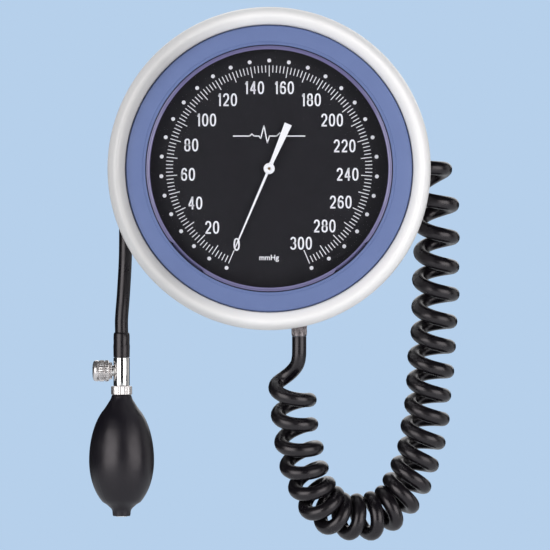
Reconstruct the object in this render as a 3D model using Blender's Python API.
"""Wall-mounted aneroid blood pressure gauge with a large round dial.

A wall plate carries an open basket that stores the rolled arm cuff. The round gauge head
is screwed to the front of the basket. One hose runs from the cuff to a hand bulb with a
release valve, and a coiled hose runs from the gauge to the cuff.

Frame: +Z is up and the dial faces -Y. The wall is the plane y = 0 and the dial's axis is
the line x = 0, z = 0. Every length in this file is in millimetres; metres() turns lengths
into Blender's own unit. "height" on a piece that faces forward is its distance from the wall.
"""

import math

import bmesh
import bpy
from mathutils import Vector

MM = 0.001
GAP = 0.3

# Directions in which the local +Z of a piece can point.
UP = (0.0, 0.0, 0.0)
FORWARD = (90.0, 0.0, 0.0)
LEFT = (0.0, -90.0, 0.0)
RIGHT = (0.0, 90.0, 0.0)
# Local X points up, local Y forward and local Z right.
BESIDE = (180.0, -90.0, 0.0)

# Gauge head.
RIM_RADIUS = 99.3
RIM_INNER_RADIUS = 88.6
RIM_CROWN = 111.5
CASE_RADIUS = 85.0
CASE_WALL = 2.4
CASE_REAR = 66.3
CASE_EDGE = 90.9
BEZEL_FRONT = 107.2
BEZEL_RADIUS = RIM_INNER_RADIUS - GAP
BEZEL_REAR = 104.2
BEZEL_INNER_RADIUS = 76.0
RIM_EDGE = 84.5
RIM_SEAT = BEZEL_REAR - GAP
RIM_SLEEVE_RADIUS = 78.2
RIM_LIP_RADIUS = 72.5
LENS_RADIUS = 75.5
LENS_FLANGE_RADIUS = 77.8
LENS_REAR = 102.6
LENS_FRONT = 108.2
LENS_FACE_RADIUS = 73.6
RING_INNER_RADIUS = 74.6
DIAL_HOLE = 3.5
DIAL_RADIUS = 77.4
DIAL_REAR = 94.0
DIAL_FRONT = 95.0
BIG_SEGMENTS = 40

# Basket on the wall.
PLATE_THICKNESS = 3.0
PLATE_LOW = (-60.0, -46.0)
PLATE_HIGH = (60.0, 12.0)
WALL_SCREW_HOLE = 2.6
WALL_SCREW_Z = -30.0
BASKET_RADIUS = 82.0
BASKET_WALL = 2.5
BASKET_REAR = PLATE_THICKNESS + GAP
BASKET_FRONT = 60.0
BASKET_TOP = 15.0
BASKET_SCREW_X = 45.0
BASKET_SCREW_Z = 5.0
BASKET_SCREW_HOLE = 1.6
BOSS_RADIUS = 25.0
HEAD_SCREWS = 3
HEAD_SCREW_CIRCLE = 16.0
HEAD_SCREW_HOLE = 2.0

# Movement: a sector gear turns the pinion that carries the pointer.
GEAR_MODULE = 0.5
PINION_TEETH = 12
SECTOR_TEETH = 96
SECTOR_SWING = 39.2
SECTOR_Z = GEAR_MODULE * (PINION_TEETH + SECTOR_TEETH) / 2
SECTOR_REAR = 87.4
SECTOR_THICKNESS = 1.5
ROCKER_Z = 24.2
ROCKER_HEIGHT = 79.0
ROCKER_SWING = 23.2
ROCKER_ARM_X = 5.5
SHAFT_RADIUS = 0.75
LEVER_LENGTH = 4.5
CAPSULE_X = -9.0
CAPSULE_Z = ROCKER_Z - LEVER_LENGTH
CAPSULE_RADIUS = 16.0
BASE_REAR = 69.1
BASE_FRONT = 70.8
BRIDGE_REAR = 91.0
BRIDGE_FRONT = 92.2
PILLAR_ZS = (-12.0, 42.0)
BASE_SCREWS = ((-26.0, 42.0), (21.5, -20.0))
BASE_SCREW_HOLE = 1.5
BEARING_XS = (("rocker_bearing_left", -28.0), ("rocker_bearing_right", 12.0))
BEARING_TOP = 82.0
PIN_HOLE = 1.3
ARBOR_RADIUS = 0.75
ARBOR_HOLE = 1.2
ARBOR_TIP = 99.9
SPRING_TURNS = 3.5
ZERO_ANGLE = 246.8
POINTER_HEIGHT = 98.6

# Hoses and what they join.
HOSE_RADIUS = 4.1
COIL_HOSE_RADIUS = 4.4
COIL_RADIUS = 15.0
STRAIGHT_END = 5.0
SOCKET_X = 18.5
SOCKET_HEIGHT = 78.5
COLLAR_BOTTOM = -103.0
CUFF_RADIUS = 23.0
CUFF_HALF_LENGTH = 64.0
CUFF_HEIGHT = 31.6
CUFF_Z = -16.0
PORT_X = 28.0
PORT_TOP = 15.0
CONNECTOR_TOP = 31.0

# Middles of the coil's turns, one point a turn: down from the gauge, then up on its right side.
COIL_TURNS = (
    (15.2, -78.5, -125.5), (14.3, -78.2, -139.0), (15.6, -77.6, -154.9), (18.4, -76.6, -170.4),
    (21.9, -75.2, -184.1), (26.4, -73.5, -196.1), (32.6, -71.2, -206.0), (41.0, -68.0, -212.6),
    (51.6, -63.9, -214.6), (63.4, -59.4, -213.6), (74.0, -55.6, -208.6), (81.8, -53.0, -199.9),
    (87.6, -51.4, -188.9), (92.0, -50.3, -176.6), (95.0, -49.7, -163.4), (97.1, -49.4, -149.4),
    (98.7, -49.2, -135.1), (100.0, -49.0, -120.2), (101.1, -48.9, -105.0), (102.0, -48.8, -89.6),
    (102.6, -48.7, -72.7), (103.2, -48.6, -55.7), (103.3, -48.5, -37.7), (102.1, -48.4, -17.9),
    (97.8, -48.2, 2.9),
)

# Bulb and its valves.
BULB_X = -91.2
BULB_HEIGHT = 40.0
HOSE_END_TOP = -101.3
VALVE_TOP = -116.4
VALVE_BOTTOM = -134.0
COLLAR_END = -139.4
BULB_EQUATOR = -179.9
BULB_RADIUS = 20.1
BULB_UPPER = 37.6
BULB_LOWER = 31.7
BULB_END = -214.4
KNOB_Z = -124.6
KNOB_RADIUS = 6.6
KNOB_TIP = 109.2


def metres(values):
    return Vector(values) * MM


def material(name, colour, roughness, metallic=0.0):
    made = bpy.data.materials.new(name)
    made.use_nodes = True
    shader = made.node_tree.nodes["Principled BSDF"]
    shader.inputs["Base Color"].default_value = (*colour, 1.0)
    shader.inputs["Roughness"].default_value = roughness
    shader.inputs["Metallic"].default_value = metallic
    made.diffuse_color = (*colour, 1.0)
    return made


def place(name, shape, look, at=(0, 0, 0), facing=UP):
    """Turns a finished bmesh, in metres, into a named object with smooth round faces."""
    bmesh.ops.recalc_face_normals(shape, faces=shape.faces)
    mesh = bpy.data.meshes.new(name)
    shape.to_mesh(mesh)
    shape.free()
    mesh.shade_smooth()
    mesh.set_sharp_from_angle(angle=math.radians(32))
    mesh.materials.append(look)
    piece = bpy.data.objects.new(name, mesh)
    piece.location = metres(at)
    piece.rotation_euler = [math.radians(angle) for angle in facing]
    bpy.context.scene.collection.objects.link(piece)
    return piece


def lathe(name, outline, look, at=(0, 0, 0), facing=UP, segments=24):
    """Turns an outline of (radius, height) points about local Z.

    The outline starts and ends on the axis, or it is a closed loop clear of the axis. An end
    that is level with the axis point becomes one flat face.
    """
    shape = bmesh.new()
    rings = []
    for radius, height in outline:
        if radius == 0:
            rings.append([shape.verts.new(metres((0, 0, height)))])
            continue
        angles = [math.tau * step / segments for step in range(segments)]
        rings.append([
            shape.verts.new(metres((radius * math.cos(a), radius * math.sin(a), height)))
            for a in angles
        ])
    pairs = list(zip(rings, rings[1:]))
    if len(rings[0]) > 1:
        pairs.append((rings[-1], rings[0]))
    for lower, upper in pairs:
        flat = lower[0].co.z == upper[0].co.z
        if flat and 1 in (len(lower), len(upper)):
            hub = lower if len(lower) == 1 else upper
            shape.faces.new(upper if hub is lower else lower)
            shape.verts.remove(hub[0])
            continue
        for step in range(segments):
            following = (step + 1) % segments
            corners = [lower[step % len(lower)], lower[following % len(lower)]]
            corners += [upper[following % len(upper)], upper[step % len(upper)]]
            shape.faces.new(list(dict.fromkeys(corners)))
    return place(name, shape, look, at, facing)


def prism(name, outline, low, high, look, at=(0, 0, 0), facing=UP):
    """Extrudes an outline in the local XY plane from local z = low to z = high."""
    shape = bmesh.new()
    lower = [shape.verts.new(metres((x, y, low))) for x, y in outline]
    upper = [shape.verts.new(metres((x, y, high))) for x, y in outline]
    shape.faces.new(lower)
    shape.faces.new(upper)
    for step in range(len(outline)):
        following = (step + 1) % len(outline)
        shape.faces.new([lower[step], lower[following], upper[following], upper[step]])
    return place(name, shape, look, at, facing)


def rounded_box(low, high, corner, steps=4):
    """The outline of an upright rectangle with rounded corners."""
    outline = []
    centres = [
        (high[0] - corner, high[1] - corner), (low[0] + corner, high[1] - corner),
        (low[0] + corner, low[1] + corner), (high[0] - corner, low[1] + corner),
    ]
    for quarter, (x, y) in enumerate(centres):
        for step in range(steps + 1):
            angle = math.radians(90 * (quarter + step / steps))
            outline.append((x + corner * math.cos(angle), y + corner * math.sin(angle)))
    return outline


def cylinder(name, radius, low, high, look, at=(0, 0, 0), facing=UP, segments=16):
    return lathe(name, [(0, low), (radius, low), (radius, high), (0, high)], look, at, facing, segments)


def combine(piece, tool, operation):
    """Adds a Boolean and leaves the tool out of the model."""
    tool.hide_render = True
    tool.display_type = "WIRE"
    step = piece.modifiers.new(tool.name, "BOOLEAN")
    step.operation = operation
    step.solver = "EXACT"
    step.object = tool


def drill(piece, radius, at, facing, low, high, segments=12):
    """Cuts a round hole along the facing direction, between two distances from at."""
    name = f"{piece.name}_hole_{len(piece.modifiers) + 1}"
    tool = cylinder(name, radius, low, high, piece.data.materials[0], at, facing, segments)
    combine(piece, tool, "DIFFERENCE")


def screw(name, look, at, facing, head_radius, head, shank_radius, length):
    """A pan-head screw whose head sits on at and whose shank runs along the facing direction."""
    outline = [(0, -head), (head_radius * 0.6, -head), (head_radius, -head * 0.5), (head_radius, 0)]
    outline += [(shank_radius, 0), (shank_radius, length - 0.6), (0, length)]
    return lathe(name, outline, look, at, facing, 8)


def smooth_route(points, spacing):
    """Points about one spacing apart on a Catmull-Rom curve through the given points."""
    knots = [Vector(point) for point in points]
    knots = [2 * knots[0] - knots[1], *knots, 2 * knots[-1] - knots[-2]]
    route = [knots[1]]
    for before, start, end, after in zip(knots, knots[1:], knots[2:], knots[3:]):
        pieces = max(1, round((end - start).length / spacing))
        for step in range(1, pieces + 1):
            t = step / pieces
            route.append(0.5 * (
                2 * start + (end - before) * t
                + (2 * before - 5 * start + 4 * end - after) * t**2
                + (3 * start - before - 3 * end + after) * t**3
            ))
    return route


def tube(name, points, radius, look, roundness=2):
    """A capped round tube along a list of points."""
    curve = bpy.data.curves.new(name, "CURVE")
    curve.dimensions = "3D"
    curve.bevel_depth = radius * MM
    curve.bevel_resolution = roundness
    curve.use_fill_caps = True
    spline = curve.splines.new("POLY")
    spline.points.add(len(points) - 1)
    for point, place_mm in zip(spline.points, points):
        point.co = (*metres(place_mm), 1.0)
    curve.materials.append(look)
    piece = bpy.data.objects.new(name, curve)
    bpy.context.scene.collection.objects.link(piece)
    return piece


def polar(radius, degrees, centre=(0.0, 0.0)):
    angle = math.radians(degrees)
    return (centre[0] + radius * math.cos(angle), centre[1] + radius * math.sin(angle))


def tooth(pitch_radius, centre_angle):
    """Six points of one gear tooth, from the root before it to the root after it."""
    across = math.degrees(math.pi * GEAR_MODULE / pitch_radius)
    root = pitch_radius - 1.15 * GEAR_MODULE
    tip = pitch_radius + 0.75 * GEAR_MODULE
    return [
        polar(root, centre_angle - 0.28 * across), polar(pitch_radius, centre_angle - 0.18 * across),
        polar(tip, centre_angle - 0.07 * across), polar(tip, centre_angle + 0.07 * across),
        polar(pitch_radius, centre_angle + 0.18 * across), polar(root, centre_angle + 0.28 * across),
    ]


def wall_mount(looks):
    plate = prism(
        "wall_plate", rounded_box(PLATE_LOW, PLATE_HIGH, 8), 0, PLATE_THICKNESS, looks["white"],
        facing=FORWARD,
    )
    for x in (-BASKET_SCREW_X, BASKET_SCREW_X):
        drill(plate, BASKET_SCREW_HOLE, (x, 0, BASKET_SCREW_Z), FORWARD, -1, PLATE_THICKNESS + 1)
        drill(plate, WALL_SCREW_HOLE, (x, 0, WALL_SCREW_Z), FORWARD, -1, PLATE_THICKNESS + 1)
        screw(
            "basket_screw_left" if x < 0 else "basket_screw_right", looks["steel"],
            (x, -BASKET_REAR - BASKET_WALL - GAP, BASKET_SCREW_Z), (-90, 0, 0), 3.4, 1.6, 1.2, 5.0,
        )


def basket_outline(radius, top):
    arc = [polar(radius, 180 + 180 * step / 24) for step in range(25)]
    return [(-radius, top), *arc, (radius, top)]


def head_screw_places():
    return [polar(HEAD_SCREW_CIRCLE, 90 + 360 * number / HEAD_SCREWS) for number in range(HEAD_SCREWS)]


def basket(looks):
    shell = prism(
        "cuff_basket", basket_outline(BASKET_RADIUS, BASKET_TOP), BASKET_REAR, BASKET_FRONT,
        looks["white"], facing=FORWARD,
    )
    inside = prism(
        "basket_inside", basket_outline(BASKET_RADIUS - BASKET_WALL, BASKET_TOP + 5),
        BASKET_REAR + BASKET_WALL, BASKET_FRONT - BASKET_WALL, looks["white"], facing=FORWARD,
    )
    combine(shell, inside, "DIFFERENCE")
    for x in (-BASKET_SCREW_X, BASKET_SCREW_X):
        drill(shell, BASKET_SCREW_HOLE, (x, 0, BASKET_SCREW_Z), FORWARD, 2, 8)
    boss_front = CASE_REAR - GAP
    boss = cylinder(
        "head_boss", BOSS_RADIUS, BASKET_FRONT + GAP, boss_front, looks["white"], facing=FORWARD,
        segments=32,
    )
    for number, (x, z) in enumerate(head_screw_places()):
        drill(shell, HEAD_SCREW_HOLE, (x, 0, z), FORWARD, BASKET_FRONT - 5, BASKET_FRONT + 2)
        drill(boss, HEAD_SCREW_HOLE, (x, 0, z), FORWARD, BASKET_FRONT - 2, boss_front + 2)
        start = (x, GAP + BASKET_WALL - BASKET_FRONT, z)
        screw(f"head_screw_{number + 1}", looks["steel"], start, FORWARD, 3.5, 1.7, 1.7, 11.0)


def flat_ring(name, inner, outer, rear, front, look):
    """A ring of rectangular section round the dial's axis."""
    outline = [(inner, rear), (outer, rear), (outer, front), (inner, front)]
    lathe(name, outline, look, facing=FORWARD, segments=BIG_SEGMENTS)


def case(looks):
    inner = CASE_RADIUS - CASE_WALL
    shell = lathe(
        "case_back",
        [
            (0, CASE_REAR), (74, CASE_REAR), (81.5, CASE_REAR + 2.6), (CASE_RADIUS, CASE_REAR + 9),
            (CASE_RADIUS, CASE_EDGE), (inner, CASE_EDGE), (inner, CASE_REAR + 9.8),
            (79.6, CASE_REAR + 4.6), (73, CASE_REAR + CASE_WALL), (0, CASE_REAR + CASE_WALL),
        ],
        looks["white"], facing=FORWARD, segments=BIG_SEGMENTS,
    )
    rear, floor = CASE_REAR - 2, CASE_REAR + CASE_WALL + 1
    for x, z in head_screw_places():
        drill(shell, HEAD_SCREW_HOLE, (x, 0, z), FORWARD, rear, floor)
    for x, z in BASE_SCREWS:
        drill(shell, BASE_SCREW_HOLE, (x, 0, z), FORWARD, rear, floor)
    drill(shell, 4.4, (SOCKET_X, -SOCKET_HEIGHT, 0), UP, -90, -70, 16)

    lathe(
        "front_rim",
        [
            (CASE_RADIUS + GAP, RIM_EDGE), (91, 85.6), (95.8, 88.8), (98.6, 93.4), (RIM_RADIUS, 99),
            (98.7, 104.8), (97.2, 108.8), (95.8, RIM_CROWN - 0.6), (94.2, RIM_CROWN), (92.6, 110.9),
            (90.6, 109.4), (RIM_INNER_RADIUS, 107.0), (RIM_INNER_RADIUS, RIM_SEAT),
            (RIM_SLEEVE_RADIUS, RIM_SEAT),
            (RIM_SLEEVE_RADIUS, DIAL_REAR - GAP), (RIM_LIP_RADIUS, DIAL_REAR - GAP),
            (RIM_LIP_RADIUS, CASE_EDGE + GAP), (CASE_RADIUS + GAP, CASE_EDGE + GAP),
        ],
        looks["soft_white"], facing=FORWARD, segments=BIG_SEGMENTS,
    )
    lathe(
        "blue_bezel",
        [
            (BEZEL_RADIUS, BEZEL_REAR), (BEZEL_RADIUS, BEZEL_FRONT - 0.5),
            (BEZEL_RADIUS - 0.5, BEZEL_FRONT), (BEZEL_INNER_RADIUS + 0.5, BEZEL_FRONT),
            (BEZEL_INNER_RADIUS, BEZEL_FRONT - 0.4), (BEZEL_INNER_RADIUS, BEZEL_REAR),
        ],
        looks["blue"], facing=FORWARD, segments=BIG_SEGMENTS,
    )
    lathe(
        "lens",
        [
            (0, LENS_REAR), (LENS_FLANGE_RADIUS, LENS_REAR), (LENS_FLANGE_RADIUS, LENS_REAR + 1.2),
            (LENS_RADIUS, LENS_REAR + 1.2), (LENS_RADIUS, LENS_FRONT - 1.6),
            (LENS_FACE_RADIUS, LENS_FRONT), (0, LENS_FRONT),
        ],
        looks["lens"], facing=FORWARD, segments=BIG_SEGMENTS,
    )
    ring = (RING_INNER_RADIUS, LENS_FLANGE_RADIUS)
    gasket_rear = LENS_REAR - GAP - 1.3
    flat_ring("lens_gasket", *ring, gasket_rear, LENS_REAR - GAP, looks["rubber"])
    flat_ring("dial_spacer", *ring, DIAL_FRONT + GAP, gasket_rear - GAP, looks["black"])
    flat_ring("dial_plate", DIAL_HOLE, DIAL_RADIUS, DIAL_REAR, DIAL_FRONT, looks["dial"])


def movement_frame(looks):
    base = prism(
        "movement_base", rounded_box((-33, -24), (26, 50), 3, 2), BASE_REAR, BASE_FRONT,
        looks["brass"], facing=FORWARD,
    )
    for number, (x, z) in enumerate(BASE_SCREWS):
        drill(base, BASE_SCREW_HOLE, (x, 0, z), FORWARD, BASE_REAR - 1, BASE_FRONT + 1)
        at = (x, GAP - CASE_REAR, z)
        screw(f"base_screw_{number + 1}", looks["steel"], at, FORWARD, 2.6, 1.4, 1.1, 6.0)
    bridge = prism(
        "movement_bridge", rounded_box((-6, -18), (6, 48), 3, 2), BRIDGE_REAR, BRIDGE_FRONT,
        looks["brass"], facing=FORWARD,
    )
    through = (FORWARD, BRIDGE_REAR - 2, BRIDGE_FRONT + 2)
    drill(bridge, ARBOR_HOLE, (0, 0, 0), *through)
    drill(bridge, PIN_HOLE, (0, 0, SECTOR_Z), *through)
    for number, z in enumerate(PILLAR_ZS):
        low, high = BASE_FRONT + GAP, BRIDGE_REAR - GAP
        column = [(0, low), (2.5, low), (2.5, high), (PIN_HOLE, high), (PIN_HOLE, high - 4), (0, high - 4)]
        lathe(f"bridge_pillar_{number + 1}", column, looks["brass"], (0, 0, z), FORWARD, 12)
        drill(bridge, PIN_HOLE, (0, 0, z), *through)
        at = (0, -BRIDGE_FRONT - GAP, z)
        screw(f"bridge_screw_{number + 1}", looks["steel"], at, (-90, 0, 0), 2.2, 0.9, 0.9, 5.0)
    foot_low, foot_high = BASE_FRONT + GAP, BASE_FRONT + 2.4
    upright = [
        (-4, foot_low), (4, foot_low), (4, foot_high), (2.6, foot_high), (2.6, BEARING_TOP),
        (-2.6, BEARING_TOP), (-2.6, foot_high), (-4, foot_high),
    ]
    for name, x in BEARING_XS:
        block = prism(name, upright, -1.5, 1.5, looks["brass"], (x, 0, ROCKER_Z), BESIDE)
        drill(block, 1.0, (x, -ROCKER_HEIGHT, ROCKER_Z), RIGHT, -4, 4, 12)


def capsule(looks):
    low = BASE_FRONT + GAP
    lathe(
        "diaphragm_capsule",
        [
            (0, low), (8, low), (9, low + 0.6), (CAPSULE_RADIUS - 2, low + 0.6), (CAPSULE_RADIUS, low + 1.7),
            (CAPSULE_RADIUS, low + 2.3), (13, low + 3.4), (11, low + 2.9), (9, low + 3.6), (7, low + 3.1),
            (5, low + 3.9), (0, low + 3.9),
        ],
        looks["capsule"], (CAPSULE_X, 0, CAPSULE_Z), FORWARD, 24,
    )
    stud_low = low + 3.9 + GAP
    outline = [(0, stud_low), (1.8, stud_low), (1.8, stud_low + 0.5), (0.9, stud_low + 0.9)]
    outline += [(0.9, stud_low + 1.5), (0, stud_low + 1.8)]
    lathe("capsule_stud", outline, looks["steel"], (CAPSULE_X, 0, CAPSULE_Z), FORWARD, 12)
    inlet = CAPSULE_Z - CAPSULE_RADIUS - GAP
    height = low + 2.0
    route = smooth_route(
        [
            (SOCKET_X, -SOCKET_HEIGHT, -75.0), (SOCKET_X, -SOCKET_HEIGHT, -68), (15, -74.4, -50),
            (4, -73.8, -33), (-6, -height, -18), (CAPSULE_X, -height, -6), (CAPSULE_X, -height, inlet),
        ], 9,
    )
    tube("capsule_tube", route, 1.7, looks["rubber"])


def rocker(looks):
    """A cross shaft with a lever over the capsule and an arm under the sector's tail.

    The piece is drawn halfway through its swing and turned back to its rest angle.
    """
    shape = bmesh.new()
    sides = 12
    stations = (-30.5, -11.0, -7.0, ROCKER_ARM_X - 0.6, ROCKER_ARM_X + 0.6, 14.5)
    rings = []
    for x in stations:
        ring = [polar(SHAFT_RADIUS, 360 * (step + 0.5) / sides) for step in range(sides)]
        rings.append([shape.verts.new(metres((x, y, z))) for y, z in ring])
    bands = []
    for left, right in zip(rings, rings[1:]):
        band = [
            shape.faces.new([left[i], left[(i + 1) % sides], right[(i + 1) % sides], right[i]])
            for i in range(sides)
        ]
        bands.append(band)
    shape.faces.new(rings[0])
    shape.faces.new(rings[-1])
    pull(shape, bands[1], Vector((0, 0, -1)), LEVER_LENGTH + 1.6)
    pull(shape, bands[3], Vector((0, -1, 0)), 10.2)
    piece = place("rocker_shaft", shape, looks["steel"], (0, -ROCKER_HEIGHT, ROCKER_Z))
    piece.rotation_euler = (math.radians(ROCKER_SWING / 2), 0, 0)
    return piece


def pull(shape, band, direction, reach):
    """Pulls the faces of a shaft that look in one direction out into a flat-ended arm."""
    faces = [face for face in band if outward(face).dot(direction) > 0.7]
    made = bmesh.ops.extrude_face_region(shape, geom=faces)
    moved = [item for item in made["geom"] if isinstance(item, bmesh.types.BMVert)]
    bmesh.ops.delete(shape, geom=faces, context="FACES")
    for vert in moved:
        vert.co += direction * (reach * MM - vert.co.dot(direction))


def outward(face):
    """The unit direction from the shaft's axis to the middle of a face."""
    middle = face.calc_center_median()
    return Vector((0, middle.y, middle.z)).normalized()


def gears(looks):
    pitch_radius = GEAR_MODULE * SECTOR_TEETH / 2
    spacing = 360 / SECTOR_TEETH
    outline = []
    for number in range(-12, 3):
        outline += tooth(pitch_radius, -90 + number * spacing)
    tail = -SECTOR_SWING / 2
    outline.append(polar(pitch_radius - 2.5, -81))
    outline.append(polar(3.2, -72))
    outline.append(polar(3.2, tail - 24))
    outline += [polar(8.6, tail - 8), polar(8.6, tail + 8), polar(3.2, tail + 24)]
    outline += [polar(3.2, angle) for angle in (40, 80, 120, 160, 200)]
    outline.append(polar(pitch_radius - 2.5, -136.5))
    sector = prism(
        "sector_gear", outline, SECTOR_REAR, SECTOR_REAR + SECTOR_THICKNESS, looks["brass"],
        (0, 0, SECTOR_Z), FORWARD,
    )
    drill(sector, 1.4, (0, 0, SECTOR_Z), FORWARD, 85, 91, 12)
    window = [polar(7, -98), polar(18.5, -90), polar(19.5, -108), polar(18.5, -127), polar(7, -119)]
    tool = prism("sector_window", window, 85, 91, looks["brass"], (0, 0, SECTOR_Z), FORWARD)
    combine(sector, tool, "DIFFERENCE")
    lathe(
        "sector_pin",
        [
            (0, 86.0), (2.4, 86.0), (2.4, SECTOR_REAR - 0.2), (1.15, SECTOR_REAR - 0.2),
            (1.15, BRIDGE_REAR - 1.4), (2.2, BRIDGE_REAR - 1.4), (2.2, BRIDGE_REAR - GAP),
            (1.0, BRIDGE_REAR - GAP), (1.0, BRIDGE_FRONT), (0, BRIDGE_FRONT),
        ],
        looks["steel"], (0, 0, SECTOR_Z), FORWARD, 12,
    )

    small_radius = GEAR_MODULE * PINION_TEETH / 2
    teeth = []
    for number in range(PINION_TEETH):
        teeth += tooth(small_radius, 90 + 360 * (number + 0.5) / PINION_TEETH)
    pinion = prism("pinion_arbor", teeth, 86.9, 89.4, looks["brass"], facing=FORWARD)
    arbor = lathe(
        "arbor_shaft",
        [
            (0, 71.3), (ARBOR_RADIUS, 71.3), (ARBOR_RADIUS, 80.8), (1.6, 80.8), (1.6, 82.8),
            (ARBOR_RADIUS, 82.8), (ARBOR_RADIUS, ARBOR_TIP), (0, ARBOR_TIP),
        ],
        looks["steel"], facing=FORWARD, segments=12,
    )
    combine(pinion, arbor, "UNION")
    hairspring(looks)


def hairspring(looks):
    """A flat spiral ribbon round the arbor."""
    inner, outer, half_width = 2.1, 7.5, 0.12
    points = 48
    ribbon = []
    for side in (-half_width, half_width):
        steps = [step / (points - 1) for step in range(points)]
        edge = [polar(inner + (outer - inner) * s + side, 20 + 360 * SPRING_TURNS * s) for s in steps]
        ribbon += edge if side < 0 else edge[::-1]
    prism("hairspring", ribbon, 81.3, 82.3, looks["capsule"], facing=FORWARD)


def pointer(looks):
    """The pointer, drawn at zero: its blade aims down and to the left, its tail up and right."""
    low, high = POINTER_HEIGHT - 0.4, POINTER_HEIGHT + 0.3
    blade = [
        (-29.8, -2.35), (-4.0, -1.1), (-3.4, -2.0), (-2.0, -3.0), (0.0, -3.4), (2.0, -3.0), (3.4, -1.8),
        (4.2, -0.75), (47.5, -0.45), (54.1, 0.0),
    ]
    blade += [(x, -y) for x, y in reversed(blade[:-1])]
    aim = math.radians(ZERO_ANGLE)
    turned = [
        (x * math.cos(aim) - y * math.sin(aim), x * math.sin(aim) + y * math.cos(aim))
        for x, y in blade
    ]
    hand = prism("pointer", turned, low, high, looks["pointer"], facing=FORWARD)
    drill(hand, 1.05, (0, 0, 0), FORWARD, 96, 102, 12)


def gauge_socket(looks):
    at = (SOCKET_X, -SOCKET_HEIGHT, 0)
    lathe(
        "gauge_luer_socket",
        [
            (1.2, -75.3), (5.0, -75.3), (5.0, -77.0), (4.0, -77.0), (4.0, -84.5), (5.4, -84.5),
            (5.4, -87.6), (3.1, -88.4), (3.1, -97.0), (1.2, -97.0),
        ],
        looks["chrome"], at, UP, 16,
    )
    lathe(
        "luer_lock_collar",
        [
            (3.5, -90.0), (4.4, -90.0), (4.75, -90.6), (4.75, -102.4), (4.4, COLLAR_BOTTOM),
            (3.5, COLLAR_BOTTOM),
        ],
        looks["chrome"], at, UP, 20,
    )
    lathe(
        "coil_hose_barb",
        [(0.9, -97.4), (3.1, -97.4), (3.1, -98.6), (2.3, -99.2), (2.3, -102.9), (0.9, -102.9)],
        looks["chrome"], at, UP, 12,
    )


def hoses(looks):
    coil = [Vector(point) for point in COIL_TURNS]
    tube("coil_hose", coil, COIL_RADIUS, looks["hose"], 3)
    inward = (coil[1] - coil[0]).normalized()
    entry = coil[0] - inward * GAP
    lead = smooth_route(
        [
            (SOCKET_X, -SOCKET_HEIGHT, COLLAR_BOTTOM - GAP), (SOCKET_X, -SOCKET_HEIGHT, -109),
            (17.4, -SOCKET_HEIGHT, -115.5), entry - inward * STRAIGHT_END,
        ], 8,
    )
    tube("coil_hose_lead", [*lead, entry], COIL_HOSE_RADIUS, looks["hose"])
    onward = (coil[-1] - coil[-2]).normalized()
    leaving = coil[-1] + onward * GAP
    end = (PORT_X, -CUFF_HEIGHT, CONNECTOR_TOP + GAP)
    tail = smooth_route(
        [
            leaving + onward * STRAIGHT_END, (89.5, -46.6, 20.0), (82.5, -44.4, 33.0), (74.0, -42.0, 45.0),
            (62.0, -38.6, 55.0), (49.0, -35.2, 58.0), (37.5, -32.8, 52.5), (30.0, -31.8, 43.0),
            (end[0], end[1], 36.0), end,
        ], 12,
    )
    tail.insert(0, leaving)
    tube("coil_hose_tail", tail, COIL_HOSE_RADIUS, looks["hose"])
    start = (-PORT_X, -CUFF_HEIGHT, CONNECTOR_TOP + GAP)
    bulb_line = smooth_route(
        [
            start, (start[0], start[1], 37.0), (-31.0, -32.4, 50.0), (-42.0, -33.8, 59.5),
            (-56.0, -35.6, 61.5), (-69.5, -37.4, 56.0), (-80.0, -38.8, 45.0), (-86.8, -39.6, 29.0),
            (-89.2, -BULB_HEIGHT, 6.0), (-88.8, -BULB_HEIGHT, -22.0), (-88.8, -BULB_HEIGHT, -52.0),
            (-90.0, -BULB_HEIGHT, -76.0), (BULB_X, -BULB_HEIGHT, -92.0),
            (BULB_X, -BULB_HEIGHT, HOSE_END_TOP + GAP),
        ], 10,
    )
    tube("bulb_hose", bulb_line, HOSE_RADIUS, looks["hose"])


def cuff(looks):
    """The rolled cuff lies across the basket; two ports of its bladder point up."""
    end = CUFF_HALF_LENGTH
    outline = [
        (0, -end), (CUFF_RADIUS - 4, -end), (CUFF_RADIUS, -end + 4), (CUFF_RADIUS, end - 4),
        (CUFF_RADIUS - 4, end), (0, end),
    ]
    lathe("cuff_roll", outline, looks["fabric"], (0, -CUFF_HEIGHT, CUFF_Z), RIGHT, 24)
    base = CUFF_Z + CUFF_RADIUS + GAP
    for side, x in (("left", -PORT_X), ("right", PORT_X)):
        at = (x, -CUFF_HEIGHT, 0)
        cylinder(f"cuff_port_{side}", 4.6, base, PORT_TOP, looks["hose"], at, UP, 12)
        lathe(
            f"cuff_connector_{side}",
            [
                (1.2, PORT_TOP + GAP), (4.2, PORT_TOP + GAP), (4.2, 19), (5.0, 19.6), (5.0, 26.4),
                (4.2, 27), (4.2, CONNECTOR_TOP), (1.2, CONNECTOR_TOP),
            ],
            looks["chrome"], at, UP, 12,
        )


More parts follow.
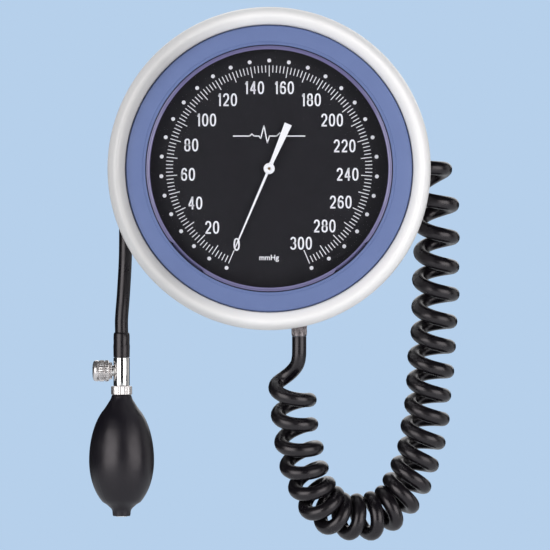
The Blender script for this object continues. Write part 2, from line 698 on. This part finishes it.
def bulb_side(looks):
    at = (BULB_X, -BULB_HEIGHT, 0)
    lathe(
        "hose_end_sleeve",
        [
            (2.8, VALVE_TOP + GAP), (5.05, VALVE_TOP + GAP), (5.05, HOSE_END_TOP - 1.2),
            (HOSE_RADIUS + 0.2, HOSE_END_TOP - GAP), (2.8, HOSE_END_TOP - GAP),
        ],
        looks["hose"], at, UP, 16,
    )
    body = lathe(
        "valve_body",
        [
            (1.1, -103.5), (2.4, -103.5), (2.4, VALVE_TOP), (5.0, VALVE_TOP), (5.0, VALVE_BOTTOM + GAP),
            (4.2, VALVE_BOTTOM + GAP), (4.2, -138.7), (1.6, -138.7), (1.6, -138.2), (2.9, -138.2),
            (2.9, -136.2), (1.1, -135.4),
        ],
        looks["chrome"], at, UP, 24,
    )
    side_at = (BULB_X, -BULB_HEIGHT, KNOB_Z)
    neck = cylinder("valve_side_neck", 3.4, 3.0, 6.6, looks["chrome"], side_at, LEFT)
    combine(body, neck, "UNION")
    drill(body, 2.0, side_at, LEFT, 2.0, 9.0)
    lathe(
        "valve_collar",
        [
            (4.6, VALVE_BOTTOM), (6.2, VALVE_BOTTOM), (6.5, VALVE_BOTTOM - 0.4), (6.5, COLLAR_END + 0.4),
            (6.2, COLLAR_END), (4.6, COLLAR_END),
        ],
        looks["chrome"], at, UP, 20,
    )
    from_body = -BULB_X
    knob_at = (0, -BULB_HEIGHT, KNOB_Z)
    lathe(
        "valve_needle",
        [
            (0, from_body + 2.3), (0.6, from_body + 3.0), (1.7, from_body + 3.8), (1.7, 99.1),
            (1.0, 99.1), (1.0, 103.5), (0, 103.5),
        ],
        looks["steel"], knob_at, LEFT, 12,
    )
    lathe("release_knob", knob_outline(), looks["chrome"], knob_at, LEFT, 20)
    cylinder("outlet_check_disc", 2.3, -137.9, -137.3, looks["rubber"], at, UP, 12)


def knob_outline():
    """The release knob: a domed cap, two gripping rings with a groove, and a blind bore."""
    rim = KNOB_RADIUS
    return [
        (0, 103.9), (1.3, 103.9), (1.3, 99.7), (2.1, 99.4), (2.1, 98.5), (rim - 0.4, 98.5), (rim, 98.9),
        (rim, 100.9), (rim - 0.7, 101.2), (rim - 0.7, 101.7), (rim, 102.0), (rim, 104.1),
        (rim - 0.5, 104.5), (rim - 0.6, 106.9), (rim - 2.2, 108.7), (0, KNOB_TIP),
    ]


def bulb_radius(z):
    """Outer radius of the bulb's egg shape at a level z."""
    reach = BULB_UPPER if z > BULB_EQUATOR else BULB_LOWER
    return BULB_RADIUS * math.sqrt(max(0.0, 1 - ((z - BULB_EQUATOR) / reach) ** 2))


def bulb(looks):
    at = (BULB_X, -BULB_HEIGHT, 0)
    wall = 2.6
    outside = [(6.1, COLLAR_END - GAP), (6.6, -141.6), (8.0, -144.0), (9.9, -147.0)]
    levels = [-150.6 - 6.2 * step for step in range(10)]
    outside += [(bulb_radius(z), z) for z in levels]
    outside += [(6.4, -209.8), (5.6, -211.2), (5.6, BULB_END)]
    inside = [(3.6, BULB_END), (3.6, -205.5)]
    inside += [(bulb_radius(z) - wall, z) for z in (-200, -191, BULB_EQUATOR, -168, -158, -151.5)]
    inside += [(3.2, -145.5), (3.2, COLLAR_END - GAP)]
    lathe("rubber_bulb", outside + inside, looks["rubber"], at, UP, 20)
    lathe(
        "bulb_end_valve",
        [
            (1.3, -214.8), (3.3, -214.8), (3.3, -206.8), (2.7, -206.8), (2.7, -212.2), (1.3, -212.2),
        ],
        looks["chrome"], at, UP, 12,
    )
    cylinder("inlet_check_disc", 2.3, -211.9, -211.3, looks["rubber"], at, UP, 12)


def main():
    for item in list(bpy.data.objects):
        bpy.data.objects.remove(item, do_unlink=True)
    looks = {
        "white": material("white_plastic", (0.80, 0.80, 0.79), 0.42),
        "soft_white": material("white_rim", (0.85, 0.84, 0.83), 0.48),
        "blue": material("blue_plastic", (0.155, 0.19, 0.39), 0.55),
        "lens": material("clear_lens", (0.85, 0.86, 0.90), 0.05),
        "dial": material("dial_black", (0.014, 0.013, 0.017), 0.6),
        "pointer": material("pointer_white", (0.88, 0.88, 0.86), 0.4),
        "black": material("black_plastic", (0.02, 0.02, 0.025), 0.45),
        "rubber": material("black_rubber", (0.018, 0.018, 0.018), 0.55),
        "hose": material("hose_rubber", (0.015, 0.015, 0.017), 0.45),
        "chrome": material("chrome_plate", (0.72, 0.72, 0.72), 0.12, 1.0),
        "steel": material("screw_steel", (0.55, 0.55, 0.55), 0.3, 1.0),
        "brass": material("movement_brass", (0.65, 0.47, 0.18), 0.35, 1.0),
        "capsule": material("capsule_bronze", (0.60, 0.38, 0.20), 0.35, 1.0),
        "fabric": material("cuff_fabric", (0.02, 0.03, 0.07), 0.9),
    }
    wall_mount(looks)
    basket(looks)
    case(looks)
    movement_frame(looks)
    capsule(looks)
    rocker(looks)
    gears(looks)
    pointer(looks)
    gauge_socket(looks)
    hoses(looks)
    cuff(looks)
    bulb_side(looks)
    bulb(looks)


main()
